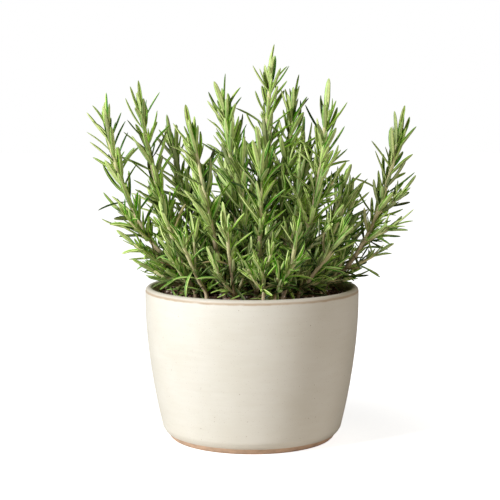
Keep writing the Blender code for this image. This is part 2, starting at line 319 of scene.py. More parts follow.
def faces_outwards(thing):
    """Merge doubles, then point every face outwards."""
    select_only(thing)
    bpy.ops.object.mode_set(mode="EDIT")
    bpy.ops.mesh.select_all(action="SELECT")
    bpy.ops.mesh.remove_doubles(threshold=MERGE)
    bpy.ops.mesh.normals_make_consistent(inside=False)
    bpy.ops.object.mode_set(mode="OBJECT")


def turn_profile(name, profile, steps):
    """Turn a profile of (radius, height) points round the +Z axis, as on a wheel."""
    bpy.ops.mesh.primitive_plane_add(size=MM, location=(0, 0, 0))
    turned = bpy.context.object
    turned.name = name
    bpy.ops.object.mode_set(mode="EDIT")
    bpy.ops.mesh.merge(type="CENTER")
    bpy.ops.transform.translate(value=(profile[0][0], 0, profile[0][1]))
    for before, after in zip(profile, profile[1:]):
        move = (after[0] - before[0], 0, after[1] - before[1])
        bpy.ops.mesh.extrude_region_move(TRANSFORM_OT_translate={"value": move})
    bpy.ops.mesh.select_all(action="SELECT")
    bpy.ops.mesh.spin(steps=steps, angle=math.tau, center=(0, 0, 0), axis=(0, 0, 1))
    bpy.ops.object.mode_set(mode="OBJECT")
    faces_outwards(turned)
    return turned


def smooth_shading(thing, degrees):
    """Shade smooth, with edges sharper than an angle left crisp."""
    select_only(thing)
    bpy.ops.object.shade_smooth_by_angle(angle=math.radians(degrees))


def smooth_line(points, step):
    """A smooth line through points, with a point about every step."""
    knots = np.array(points, float)
    padded = np.vstack([2 * knots[0] - knots[1], knots, 2 * knots[-1] - knots[-2]])
    line = []
    for before, start, end, after in zip(padded, padded[1:], padded[2:], padded[3:]):
        pieces = max(1, round(float(np.linalg.norm(end - start)) / step))
        for t in np.arange(pieces) / pieces:
            curve = 2 * start + (end - before) * t
            curve += (2 * before - 5 * start + 4 * end - after) * t**2
            curve += (3 * start - before - 3 * end + after) * t**3
            line.append(curve / 2)
    return np.array(line + [knots[-1]])


def take_template(thing):
    """Read a small model's points, faces and UVs, and remove its object."""
    mesh = thing.data
    points = np.array([vertex.co for vertex in mesh.vertices])
    faces = [list(polygon.vertices) for polygon in mesh.polygons]
    layer = mesh.uv_layers.active
    uvs = np.array([entry.uv for entry in layer.data]) if layer else np.zeros((len(mesh.loops), 2))
    bpy.data.objects.remove(thing)
    return Template(points, faces, uvs)


def set_attribute(mesh, name, values):
    """Give each point of a mesh a number that a material can read."""
    attribute = mesh.attributes.get(name) or mesh.attributes.new(name, "FLOAT", "POINT")
    attribute.data.foreach_set("value", np.asarray(values, np.float32))


def copies(name, template, places, **attributes):
    """One object of many placed copies of a template, with numbers that belong to each copy."""
    number, corners = places.shape[:2]
    faces = []
    for first in range(0, number * corners, corners):
        faces += [[first + corner for corner in face] for face in template.faces]
    mesh = bpy.data.meshes.new(name)
    mesh.from_pydata(places.reshape(-1, 3).tolist(), [], faces)
    mesh.uv_layers.new(name="needle").data.foreach_set("uv", np.tile(template.uvs, (number, 1)).ravel())
    for attribute, values in attributes.items():
        set_attribute(mesh, attribute, np.repeat(values, corners))
    return new_object(name, mesh)


def finish_piece(piece, material_slot, *replaced):
    """Hand a finished piece over: it rides with the pot, and stands for the named nodes."""
    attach(piece, BODY)
    if replaced:
        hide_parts(*replaced)


# ---- Shading ----


def set_sockets(tree, node, sockets):
    """Give sockets their values, or link them from the outputs of other nodes. Colours are plain RGB."""
    for name, value in sockets.items():
        socket = node.inputs[name]
        if isinstance(value, bpy.types.NodeSocket):
            tree.links.new(value, socket)
        elif socket.type == "RGBA":
            socket.default_value = (*value, 1)
        else:
            socket.default_value = value


def add_node(tree, kind, sockets=None, **settings):
    """Add a shader node with its settings and sockets."""
    made = tree.nodes.new("ShaderNode" + kind)
    for name, value in settings.items():
        setattr(made, name, value)
    set_sockets(tree, made, sockets or {})
    return made


def output_of(tree, kind, sockets=None, output=0, **settings):
    """Add a shader node and give one of its outputs."""
    return add_node(tree, kind, sockets, **settings).outputs[output]


def calculate(tree, operation, *values):
    """A sum of one or two values."""
    return output_of(tree, "Math", dict(enumerate(values)), operation=operation)


def plus(tree, first, second):
    """Two values added."""
    return calculate(tree, "ADD", first, second)


def minus(tree, first, second):
    """The second value taken from the first."""
    return calculate(tree, "SUBTRACT", first, second)


def times(tree, *values):
    """Values or masks multiplied."""
    product = values[0]
    for value in values[1:]:
        product = calculate(tree, "MULTIPLY", product, value)
    return product


def fade(tree, value, start, end):
    """A mask that rises smoothly from nothing at start to full at end."""
    sockets = {"Value": value, "From Min": start, "From Max": end}
    return output_of(tree, "MapRange", sockets, "Result", interpolation_type="SMOOTHSTEP")


def mix_colours(tree, mask, first, second):
    """The first colour where the mask is nothing, the second where it is full."""
    return output_of(tree, "Mix", {0: mask, 6: first, 7: second}, 2, data_type="RGBA")


def tint(tree, base, mask, strength, shade):
    """A colour that turns towards a shade where the mask is full, by a share."""
    return mix_colours(tree, times(tree, mask, strength), base, shade)


def mix_values(tree, mask, first, second):
    """The first value where the mask is nothing, the second where it is full."""
    sockets = {"Value": mask, "To Min": first, "To Max": second}
    return output_of(tree, "MapRange", sockets, "Result")


def stretched(tree, coordinates, x, y, z):
    """Coordinates that squeeze a pattern along each axis."""
    return output_of(tree, "Mapping", {"Vector": coordinates, "Scale": (x, y, z)})


def attribute_of(tree, name):
    """A number that the points of the piece carry."""
    return output_of(tree, "Attribute", output="Fac", attribute_name=name)


def new_group(name, inputs, outputs):
    """An empty shader node group with named sockets, its input node and its output node."""
    tree = bpy.data.node_groups.new(name, "ShaderNodeTree")
    for socket, kind, value in inputs:
        made = tree.interface.new_socket(name=socket, in_out="INPUT", socket_type="NodeSocket" + kind)
        if value is not None:
            made.default_value = value
    for socket, kind in outputs:
        tree.interface.new_socket(name=socket, in_out="OUTPUT", socket_type="NodeSocket" + kind)
    return tree, tree.nodes.new("NodeGroupInput"), tree.nodes.new("NodeGroupOutput")


def distance_from_axis(tree, x, y):
    """How far a point is from the pot's axis."""
    return calculate(tree, "SQRT", plus(tree, calculate(tree, "POWER", x, 2), calculate(tree, "POWER", y, 2)))


def uneven_tone_group():
    """Cloudy variation between two colours, as in glaze, soil, bark and leaf."""
    inputs = [("Coordinates", "Vector", None), ("Scale", "Float", 50.0), ("Contrast", "Float", 0.3)]
    inputs += [("First Colour", "Color", None), ("Second Colour", "Color", None)]
    tree, given, result = new_group("uneven_tone", inputs, [("Colour", "Color"), ("Mask", "Float")])
    sockets = {"Vector": given.outputs["Coordinates"], "Scale": given.outputs["Scale"], "Detail": 4.0}
    cloud = output_of(tree, "TexNoise", sockets)
    low = minus(tree, 0.5, given.outputs["Contrast"])
    high = plus(tree, 0.5, given.outputs["Contrast"])
    mask = fade(tree, cloud, low, high)
    mixed = mix_colours(tree, mask, given.outputs["First Colour"], given.outputs["Second Colour"])
    set_sockets(tree, result, {"Colour": mixed, "Mask": mask})
    return tree


def fine_relief_group():
    """Height of a fine irregular surface, coarse and fine together."""
    inputs = [("Coordinates", "Vector", None), ("Coarse Scale", "Float", 100.0)]
    inputs += [("Fine Scale", "Float", 800.0), ("Fine Share", "Float", 0.4)]
    tree, given, result = new_group("fine_relief", inputs, [("Height", "Float")])
    waves = []
    for scale in ("Coarse Scale", "Fine Scale"):
        sockets = {"Vector": given.outputs["Coordinates"], "Scale": given.outputs[scale], "Detail": 3.0}
        waves.append(output_of(tree, "TexNoise", sockets))
    height = mix_values(tree, given.outputs["Fine Share"], waves[0], waves[1])
    tree.links.new(height, result.inputs["Height"])
    return tree


def uneven_tone(tree, coordinates, scale, contrast, first, second):
    """Place the uneven tone group, and give its colour and mask."""
    group = bpy.data.node_groups.get("uneven_tone") or uneven_tone_group()
    sockets = {"Coordinates": coordinates, "Scale": scale, "Contrast": contrast}
    sockets.update({"First Colour": first, "Second Colour": second})
    return add_node(tree, "Group", sockets, node_tree=group).outputs


def fine_relief(tree, coordinates, coarse, fine, fine_share):
    """Place the fine relief group, and give its height."""
    group = bpy.data.node_groups.get("fine_relief") or fine_relief_group()
    sockets = {"Coordinates": coordinates, "Coarse Scale": coarse, "Fine Scale": fine}
    return output_of(tree, "Group", {**sockets, "Fine Share": fine_share}, node_tree=group)


def new_material(name):
    """A material with its tree, its Principled shader and the place of a point of the piece."""
    made = bpy.data.materials.new(name)
    made.use_nodes = True
    tree = made.node_tree
    return made, tree, tree.nodes["Principled BSDF"], output_of(tree, "TexCoord", output="Object")


def set_surface(tree, shader, base, roughness, height, depth):
    """Join colour, roughness and relief to the shader."""
    bump = output_of(tree, "Bump", {"Height": height, "Distance": depth})
    set_sockets(tree, shader, {"Base Color": base, "Roughness": roughness, "Normal": bump})


def glaze_specks(tree, coordinates, spacing, reach, chance):
    """A mask of small round specks, at some of a pattern's cells."""
    cells = add_node(tree, "TexVoronoi", {"Vector": coordinates, "Scale": 1 / spacing})
    lot = output_of(tree, "SeparateColor", {0: cells.outputs["Color"]})
    speck_size = mix_values(tree, lot, reach * 0.5, reach)
    edge = fade(tree, calculate(tree, "DIVIDE", cells.outputs[0], speck_size), 0.5, 1)
    return times(tree, minus(tree, 1, edge), calculate(tree, "LESS_THAN", lot, chance))


def lip_line_mask(tree, level, outer, wobble):
    """Where the glaze is thin near the lip, and the uneven line in it where the clay shows through."""
    lip = pot_high.z
    thin = fade(tree, level, lip - 4.0 * MM, lip - 2.9 * MM)
    end = fade(tree, level, lip - 1.4 * MM, lip - 2.5 * MM)
    return thin, times(tree, thin, end, outer, mix_values(tree, wobble, 0.25, 1.1))


def inner_wall_shade_mask(tree, z, outer):
    """Where the inner wall shows between the soil and the lip: the mask of its painted shade."""
    lip = pot_high.z
    below_lip = fade(tree, z, lip - 1 * MM, lip - 4 * MM)
    above_soil = calculate(tree, "GREATER_THAN", z, soil_high.z - 10 * MM)
    return times(tree, minus(tree, 1, outer), below_lip, above_soil)


def glaze_material(look):
    """Cream satin glaze, thin and tan under the lip, over a bare clay foot."""
    made, tree, shader, place = new_material("cream_glazed_stoneware")
    x, y, z = add_node(tree, "SeparateXYZ", {0: place}).outputs
    radius = distance_from_axis(tree, x, y)
    cream, cloud = uneven_tone(tree, place, 34, 0.28, look.glaze, look.glaze_pale)
    _, rings = uneven_tone(tree, stretched(tree, place, 0.16, 0.16, 1), 300, 0.3, PUTTY, PUTTY)
    cream = tint(tree, cream, rings, 0.05, look.lip_line)
    fine = glaze_specks(tree, place, 1.7 * MM, 0.30, 0.6)
    coarse = glaze_specks(tree, place, 5.5 * MM, 0.13, 0.5)
    specks = calculate(tree, "MAXIMUM", times(tree, fine, 0.22), times(tree, coarse, 0.55))
    cream = mix_colours(tree, specks, cream, look.speck)
    wobble = output_of(tree, "TexNoise", {"Vector": place, "Scale": 90.0, "Detail": 3.0})
    wander = minus(tree, wobble, 0.5)
    outer = fade(tree, radius, pot_high.x - 4 * MM, pot_high.x - 2 * MM)
    thin, line = lip_line_mask(tree, plus(tree, z, times(tree, wander, 1.6 * MM)), outer, wobble)
    cream = tint(tree, cream, thin, 0.22, look.lip_line)
    cream = mix_colours(tree, line, cream, look.lip_line)
    # Painted shade: the inner wall between soil and lip is tinted darker and browner
    cream = tint(tree, cream, inner_wall_shade_mask(tree, z, outer), 0.6, look.inside)
    clay, _ = uneven_tone(tree, place, 160, 0.3, look.clay, tuple(0.72 * part for part in look.clay))
    foot_edge = plus(tree, z, times(tree, wander, 0.5 * MM))
    bare = fade(tree, foot_edge, look.foot_height + 0.2 * MM, look.foot_height - 0.1 * MM)
    base = mix_colours(tree, bare, cream, clay)
    roughness = mix_values(tree, bare, mix_values(tree, cloud, 0.40, 0.52), 0.9)
    height = plus(tree, fine_relief(tree, place, 260, 1500, 0.35), times(tree, rings, 0.55))
    height = minus(tree, height, times(tree, specks, 0.3))
    set_surface(tree, shader, base, roughness, height, 0.12 * MM)
    return made


def soil_material(look):
    """Dark damp potting mix."""
    made, tree, shader, place = new_material("potting_mix")
    tone = attribute_of(tree, "tone")
    base, _ = uneven_tone(tree, place, 420, 0.16, look.damp, look.dry)
    base = tint(tree, base, tone, 0.6, look.bark_brown)
    set_surface(tree, shader, base, 0.95, fine_relief(tree, place, 600, 2600, 0.5), 0.8 * MM)
    return made


def litter_material(name, colour_value, shade, roughness):
    """One colour of loose bit, uneven and different from bit to bit."""
    made, tree, shader, place = new_material(name)
    base, _ = uneven_tone(tree, place, 700, 0.2, colour_value, shade)
    base = tint(tree, base, attribute_of(tree, "tone"), 0.7, shade)
    set_surface(tree, shader, base, roughness, fine_relief(tree, place, 900, 3000, 0.5), 0.3 * MM)
    return made


def needle_material(look):
    """Satin green upper side with a pale rib, felted grey-green underside with green rolled margins."""
    made, tree, shader, place = new_material("rosemary_needle")
    across, along, _ = add_node(tree, "SeparateXYZ", {0: output_of(tree, "UVMap", uv_map="needle")}).outputs
    tone = attribute_of(tree, "tone")
    below = fade(tree, across, 0.49, 0.51)
    one_side = calculate(tree, "FRACT", times(tree, across, 2))
    aside = calculate(tree, "ABSOLUTE", minus(tree, one_side, 0.5))
    margin = fade(tree, aside, 0.27, 0.42)
    # The tone carries random variation, the lightness of young needles and the painted shade of needles low
    # down and deep in the bush
    upper = mix_colours(tree, fade(tree, tone, 0.05, 0.5), look.deep_green, look.mid_green)
    upper = mix_colours(tree, fade(tree, tone, 0.5, 1), upper, look.light_green)
    rib_share = mix_values(tree, tone, 0.25, 0.85)
    upper = tint(tree, upper, fade(tree, aside, 0.15, 0.03), rib_share, look.rib)
    # The upper side's rolled margins are tinted deep green: partly their own colour, partly painted shade
    # along the edges
    upper = tint(tree, upper, margin, 0.75, look.deep_green)
    # Dark tones give the underside the upper side's colour, so the painted shade darkens both sides of a
    # needle
    lower = mix_colours(tree, fade(tree, tone, 0.65, 0), look.underside, upper)
    lower = tint(tree, lower, fade(tree, aside, 0.16, 0.05), rib_share, look.rib)
    lower = tint(tree, lower, margin, 0.85, look.deep_green)
    base = mix_colours(tree, below, upper, lower)
    base = tint(tree, base, fade(tree, along, 0.25, 0.0), 0.55, look.rib)
    base = tint(tree, base, fade(tree, along, 0.93, 1.0), 0.5, look.dried)
    shade, _ = uneven_tone(tree, place, 260, 0.3, base, look.deep_green)
    base = mix_colours(tree, 0.3, base, shade)
    base = mix_colours(tree, attribute_of(tree, "dryness"), base, look.dried)
    roughness = mix_values(tree, below, 0.36, 0.62)
    shader.inputs["Specular IOR Level"].default_value = 0.22
    set_surface(tree, shader, base, roughness, fine_relief(tree, place, 900, 4000, 0.4), 0.15 * MM)
    return made


def stem_material(look):
    """Bark: brown at the foot, tan and pinkish half way up, yellow-green between the young needles."""
    made, tree, shader, place = new_material("rosemary_stem")
    youth = attribute_of(tree, "youth")
    drift = minus(tree, output_of(tree, "TexNoise", {"Vector": place, "Scale": 70.0}), 0.5)
    youth = plus(tree, youth, times(tree, drift, 0.35))
    base = mix_colours(tree, fade(tree, youth, 0.12, 0.42), look.old_wood, look.tan_wood)
    base = mix_colours(tree, fade(tree, youth, 0.45, 0.75), base, look.young_wood)
    streaks = stretched(tree, place, 1, 1, 0.22)
    shade, _ = uneven_tone(tree, streaks, 1300, 0.15, base, look.old_wood)
    base = mix_colours(tree, mix_values(tree, youth, 0.65, 0.12), base, shade)
    set_surface(tree, shader, base, 0.72, fine_relief(tree, streaks, 1100, 3000, 0.4), 0.35 * MM)
    return made


# ---- Pot ----


def pot_profile():
    """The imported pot's own profile, from the edge of its floor over the lip to the edge of its underside."""
    shape = bmesh.new()
    shape.from_mesh(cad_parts["pot"].data)
    bmesh.ops.remove_doubles(shape, verts=shape.verts, dist=MERGE)
    cut = [corner for corner in shape.verts if abs(corner.co.y) < MERGE and corner.co.x > 0]
    point = min(cut, key=lambda corner: corner.co.x)
    walked = [point]
    while point:
        beyond = [edge.other_vert(point) for edge in point.link_edges]
        beyond = [corner for corner in beyond if corner in cut and corner not in walked]
        point = min(beyond, key=lambda corner: (corner.co - point.co).length, default=None)
        walked += [point] if point else []
    profile = [(corner.co.x, corner.co.z) for corner in walked]
    shape.free()
    return profile


def thrown_profile(look):
    """The pot's profile as it is turned, with throwing ridges and the foot set in under the glaze."""
    line = smooth_line(pot_profile(), look.profile_step)
    lip = int(line[:, 1].argmax())
    turned = [(0.0, line[0][1])]
    for index, (radius, height) in enumerate(line[:-1]):
        spacings = (look.fine_ridges, look.broad_ridges)
        fingers = [noise.noise(Vector((0, 0, height / spacing))) for spacing in spacings]
        bare = index > lip and height < look.foot_height
        turned.append((radius + (-look.glaze_thickness if bare else look.ridge * sum(fingers)), height))
    foot = line[-1][0] - look.glaze_thickness
    turned += [(foot, 0.5 * MM), (foot - 0.5 * MM, 0.0), (0.0, 0.0)]
    return turned


class ROSEMARY_OT_pot(Operator):
    """Turn the pot and glaze it"""

    bl_idname = "rosemary.pot"
    bl_label = "Pot"

    def execute(self, context):
        look = context.scene.rosemary_pot
        pot = turn_profile("stoneware_pot", thrown_profile(look), look.turning_steps)
        smooth_shading(pot, POT_CREASE)
        pot.data.materials.append(glaze_material(look))
        finish_piece(pot, "glazed_stoneware", "pot")
        return {"FINISHED"}


# ---- Soil and what lies on it ----


def displace(thing, texture_size, height):
    """Push a surface in and out along its normals by a cloudy pattern, and apply it."""
    select_only(thing)
    texture = bpy.data.textures.new(thing.name + "_relief", "CLOUDS")
    texture.noise_scale = texture_size
    relief = thing.modifiers.new("relief", "DISPLACE")
    relief.texture = texture
    relief.texture_coords = "LOCAL"
    relief.strength = height
    relief.mid_level = 0.5
    bpy.ops.object.modifier_apply(modifier=relief.name)


def ground_height(ground, x, y):
    """Height of the finished soil at a place."""
    hit = ground.ray_cast(Vector((x, y, 1)), Vector((0, 0, -1)))[0]
    return hit.z if hit else soil_high.z


def model_grain(seed, proportions):
    """One angular grain, about 2 across: a facetted ball with its points pushed about and flattened."""
    bpy.ops.mesh.primitive_ico_sphere_add(subdivisions=1, radius=1, location=(0, 0, 0))
    bpy.ops.object.mode_set(mode="EDIT")
    bpy.ops.transform.vertex_random(offset=0.22, uniform=0.7, normal=0.3, seed=seed)
    bpy.ops.transform.resize(value=proportions, center_override=(0, 0, 0))
    bpy.ops.mesh.normals_make_consistent(inside=False)
    bpy.ops.object.mode_set(mode="OBJECT")
    return take_template(bpy.context.object)


def scatter(name, template, number, sizes, rng, ground, reach, sunk):
    """Copies of a grain all over the soil, each turned its own way and a little sunk in."""
    places = []
    for _ in range(number):
        turn = Matrix.Rotation(rng.uniform(0, math.tau), 3, "Z")
        turn = turn @ Matrix.Rotation(rng.normal(0, 0.35), 3, "X")
        half = rng.uniform(*sizes) / 2
        radius, heading = reach * math.sqrt(rng.uniform(0, 1)), rng.uniform(0, math.tau)
        x, y = radius * math.cos(heading), radius * math.sin(heading)
        z = ground_height(ground, x, y) + half * sunk
        places.append(template.points @ np.array(turn).T * half + (x, y, z))
    return copies(name, template, np.array(places), tone=rng.uniform(0, 1, number))


class ROSEMARY_OT_soil(Operator):
    """Heap the soil in the pot"""

    bl_idname = "rosemary.soil"
    bl_label = "Soil"

    def execute(self, context):
        look = context.scene.rosemary_soil
        edge, edge_height = soil_radius, soil_edge_height + look.heap
        middle = soil_high.z - look.grain + look.heap
        rings = round(edge / look.ring_step)
        radii = [edge * ring / rings for ring in range(rings + 1)]
        rise = middle - edge_height
        surface = [(radius, edge_height + rise * (1 - (radius / edge) ** 2)) for radius in radii]
        below = [(edge - 1 * MM, edge_height - SOIL_DEPTH), (0, edge_height - SOIL_DEPTH)]
        soil = turn_profile("potting_mix", surface + below, SOIL_STEPS)
        displace(soil, look.lump_size, look.lump)
        displace(soil, look.grain_size, look.grain)
        for vertex in soil.data.vertices:
            radius = math.hypot(vertex.co.x, vertex.co.y)
            if radius > edge:
                vertex.co.x *= edge / radius
                vertex.co.y *= edge / radius
        set_attribute(soil.data, "tone", np.zeros(len(soil.data.vertices)))
        smooth_shading(soil, SOIL_CREASE)
        soil.data.materials.append(soil_material(look))
        finish_piece(soil, "potting_soil", "soil")
        return {"FINISHED"}


class ROSEMARY_OT_litter(Operator):
    """Scatter crumbs, perlite, bark and fallen needles on the soil"""

    bl_idname = "rosemary.litter"
    bl_label = "Crumbs, Perlite, Bark and Fallen Needles"

    def execute(self, context):
        look, plant = context.scene.rosemary_soil, context.scene.rosemary_plant
        rng = np.random.default_rng(SEED)
        ground = finished_ground()
        reach = soil_radius - 2.5 * MM
        mix = bpy.data.materials["potting_mix"]
        white = litter_material("perlite_white", look.perlite_white, look.grit, 0.9)
        brown = litter_material("bark_brown", look.bark_brown, look.dry, 0.85)
        crumb = model_grain(3, (1, 0.9, 0.75))
        flake = model_grain(8, (1, 0.95, 0.85))
        chip = model_grain(5, (1.5, 0.7, 0.35))
        kinds = (
            ("soil_crumbs", crumb, look.crumbs, CRUMB_SIZES, 0.3, mix),
            ("perlite_bits", flake, look.perlite, PERLITE_SIZES, 0.5, white),
            ("bark_chips", chip, look.bark, BARK_SIZES, 0.3, brown),
        )
        for name, grain, number, sizes, sunk, material in kinds:
            bits = scatter(name, grain, number, sizes, rng, ground, reach, sunk)
            bits.data.materials.append(material)
            smooth_shading(bits, BIT_CREASE)
            finish_piece(bits, "potting_soil")
        fallen = lying_needles(look.fallen, plant, rng, ground, reach)
        litter = needle_copies("fallen_needles", model_needle(), fallen)
        smooth_shading(litter, LEAF_CREASE)
        litter.data.materials.append(needle_material(plant))
        finish_piece(litter, "rosemary")
        return {"FINISHED"}


def finished_ground():
    """The finished soil surface, ready to be measured."""
    return BVHTree.FromObject(bpy.data.objects["potting_mix"], bpy.context.evaluated_depsgraph_get())


def lying_needles(number, plant, rng, ground, reach):
    """Needles that lie on the soil, most of them dry."""
    needles = []
    for _ in range(number):
        length = rng.uniform(0.5, 0.95) * plant.full_length
        radius, heading = (reach - length / 2) * math.sqrt(rng.uniform(0, 1)), rng.uniform(0, math.tau)
        lie = rng.uniform(0, math.tau)
        along = Vector((math.cos(lie), math.sin(lie), 0))
        middle = Vector((radius * math.cos(heading), radius * math.sin(heading), 0))
        ends = [middle + along * length * half for half in (-0.5, 0.5)]
        for end in ends:
            end.z = ground_height(ground, end.x, end.y) + rng.uniform(1.2, 2.4) * MM
        along = (ends[1] - ends[0]).normalized()
        upper = (Vector((0, 0, 1)) - along * along.z).normalized() * rng.choice([-1, 1])
        dryness = rng.choice([0, 0.5, 0.9, 1])
        bend, twist, tone = rng.normal(0, 0.3), rng.normal(0, 0.4), rng.uniform(0, 1)
        form = (length, plant.needle_width * 0.9, bend, twist, tone, dryness)
        needles.append(Needle(np.array(ends[0]), np.array(along), np.array(upper), *form))
    return needles


# ---- Needles ----


def model_needle():
    """One needle, 1 long up the Z axis and 2 wide along X, its grooved upper side facing +Y."""
    bpy.ops.mesh.primitive_circle_add(vertices=8, radius=1, fill_type="NGON", location=(0, 0, 0))
    needle = bpy.context.object
    bpy.ops.object.mode_set(mode="EDIT")
    first_width = NEEDLE_SECTIONS[0][1]
    bpy.ops.transform.resize(value=(first_width, first_width * 0.5, 1), center_override=(0, 0, 0))
    for (start, width), (end, next_width) in zip(NEEDLE_SECTIONS, NEEDLE_SECTIONS[1:]):
        bpy.ops.mesh.extrude_region_move(TRANSFORM_OT_translate={"value": (0, 0, end - start)})
        ratio = next_width / width
        bpy.ops.transform.resize(value=(ratio, ratio, 1), center_override=(0, 0, end))
    bpy.ops.mesh.extrude_region_move(TRANSFORM_OT_translate={"value": (0, 0, 1 - NEEDLE_SECTIONS[-1][0])})
    bpy.ops.mesh.merge(type="CENTER")
    bpy.ops.object.mode_set(mode="OBJECT")
    middle = 0.01
    scale_points(needle, lambda place: abs(place.x) < middle and place.y > middle, (1, 0.25, 1))
    scale_points(needle, lambda place: abs(place.x) > middle and place.y < -middle, (1.15, 0.55, 1))
    faces_outwards(needle)
    needle_uvs(needle.data)
    return take_template(needle)


def needle_uvs(mesh):
    """Lay the needle out: across its upper side and back across its underside, by its length."""
    layer = mesh.uv_layers.new(name="needle").data
    points = np.array([vertex.co for vertex in mesh.vertices])
    for polygon in mesh.polygons:
        above = polygon.normal.y > 0
        for loop in polygon.loop_indices:
            x, y, z = points[mesh.loops[loop].vertex_index]
            level = points[np.abs(points[:, 2] - z) < 0.01]
            widest = max(np.abs(level[:, 0]).max(), 0.001)
            across = SIDE_REACH * x / widest
            layer[loop].uv = (UPPER_MIDDLE - across if above else UNDER_MIDDLE + across, z)


def needle_copies(name, template, needles):
    """Bend, twist and place a copy of the needle for each entry."""
    base, along, upper, length, width, bend, twist, tone, dryness = map(np.array, zip(*needles))
    across = np.cross(upper, along)
    x, y, t = (template.points[:, axis] for axis in range(3))
    roll = twist[:, None] * t
    half = width[:, None] / 2
    side = (x * np.cos(roll) - y * np.sin(roll)) * half
    rise = (x * np.sin(roll) + y * np.cos(roll)) * half
    bend = np.where(np.abs(bend) < 0.001, 0.001, bend)[:, None]
    lean = bend * t
    ahead = np.sin(lean) / bend * length[:, None] - np.sin(lean) * rise
    up = (1 - np.cos(lean)) / bend * length[:, None] + np.cos(lean) * rise
    places = base[:, None] + ahead[..., None] * along[:, None] + up[..., None] * upper[:, None]
    places = places + side[..., None] * across[:, None]
    return copies(name, template, places, tone=tone, dryness=dryness, youth=np.ones(len(needles)))


# ---- Stems ----


def middle_of(ring):
    """Middle of a ring of points."""
    return sum((corner.co for corner in ring), Vector()) / len(ring)


def stem_middles(node):
    """Middles of a packed stem's rings, followed from its root up along the edges."""
    shape = bmesh.new()
    shape.from_mesh(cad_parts[node].data)
    bmesh.ops.remove_doubles(shape, verts=shape.verts, dist=MERGE)
    root = sorted(shape.verts, key=lambda corner: corner.co.z)[:RING_CORNERS]
    start = middle_of(root)
    seen = {corner for corner in shape.verts if (corner.co - start).xy.length < RING_REACH}
    seen = {corner for corner in seen if corner.co.z < start.z + STRAIGHT_START}
    ring = sorted(seen, key=lambda corner: corner.co.z)[-RING_CORNERS:]
    heading = Vector((0, 0, 1))
    middles = [start, middle_of(ring)]
    while True:
        start = middles[-1]
        ahead = {edge.other_vert(corner) for corner in ring for edge in corner.link_edges} - seen
        ring = sorted(ahead, key=lambda corner: (corner.co - start).cross(heading).length)[:RING_CORNERS]
        if len(ring) < RING_CORNERS or max((c.co - middle_of(ring)).length for c in ring) > RING_REACH:
            break
        seen |= ahead
        middles.append(middle_of(ring))
        heading = (middles[-1] - start).normalized()
    shape.free()
    return [list(middle) for middle in middles]


def unit(vector):
    """The same direction, one long."""
    return vector / np.linalg.norm(vector)


class Route:
    """A stem's smooth middle line, with distances along it."""

    def __init__(self, points):
        self.points = np.array(points)
        steps = np.linalg.norm(np.diff(self.points, axis=0), axis=1)
        self.distances = np.concatenate([[0], np.cumsum(steps)])
        self.length = float(self.distances[-1])

    def at(self, distance):
        """The point this far along."""
        return np.array([np.interp(distance, self.distances, self.points[:, axis]) for axis in range(3)])

    def heading(self, distance):
        """The direction this far along."""
        return unit(self.at(min(distance + MM, self.length)) - self.at(max(distance - MM, 0)))


def across_line(heading, turn):
    """A direction straight out from a line, at an angle round it."""
    first = np.cross(heading, (0.0, 1.0, 0.0))
    if np.linalg.norm(first) < 0.2:
        first = np.cross(heading, (1.0, 0.0, 0.0))
    first = unit(first)
    return first * math.cos(turn) + np.cross(heading, first) * math.sin(turn)


def in_the_way(points):
    """Whether points run into the soil or the pot's wall, or hang far down outside it."""
    wall_inside = soil_radius - WALL_CLEARANCE
    wall_outside = pot_high.x + WALL_CLEARANCE
    for x, y, z in points:
        radius = math.hypot(x, y)
        if radius < wall_inside:
            floor = soil_high.z + SOIL_CLEARANCE
        elif radius < wall_outside:
            floor = pot_high.z + LIP_CLEARANCE
        else:
            floor = pot_high.z - LOWEST_HANG
        if z < floor:
            return True
    return False


def try_needle(base, along, side, opening, length, form):
    """A needle at an opening from its stem, raised or left out where it would run into soil or pot."""
    for raise_by in (0, 0.25, 0.5, 0.8):
        direction = along * math.cos(opening) + side * math.sin(opening)
        direction = unit(direction * (1 - raise_by) + np.array((0, 0, 1)) * raise_by)
        marks = [base + direction * length * mark for mark in (0.35, 0.6, 0.8, 1)]
        if not in_the_way(marks):
            upper = along - side * 0.25
            upper = unit(upper - direction * np.dot(upper, direction))
            return Needle(base, direction, upper, length, *form)
    return None


def needle_form(look, rng, length, tone, dryness=0.0, droop=0.0):
    """A needle's width, bend, twist, tone and dryness. Shorter and lower ones are narrower."""
    width = look.needle_width * min(1, length / look.low_length) ** 0.6
    width *= rng.uniform(0.72, 1.18) * (1 - 0.25 * droop)
    bend = rng.normal(0.04 - 0.4 * droop, 0.3 + 0.2 * droop)
    return width, bend, rng.normal(0, 0.3), tone, dryness


def needle_length(look, progress, low_length, vigour):
    """Usual length of a needle at a share of its stem: it grows up the stem and changes towards the tip."""
    swell = math.sin(math.pi * min(1, 0.25 + progress * 0.75))
    length = low_length + (look.full_length * vigour - low_length) * swell
    if progress > TIP_START:
        closing = ((progress - TIP_START) / (1 - TIP_START)) ** 1.3
        length += (look.tip_length * vigour - length) * closing
    return length


def low_and_shaded(place):
    """How low over the soil a place is, and how deep in the bush, both from 0 to 1."""
    height = place[2] - soil_high.z
    low = max(0, 1 - height / LOW_HEIGHT)
    shaded = max(0, 1 - math.hypot(place[0], place[1]) / SHADED_RADIUS) * max(0, 1 - height / SHADED_HEIGHT)
    return low, shaded


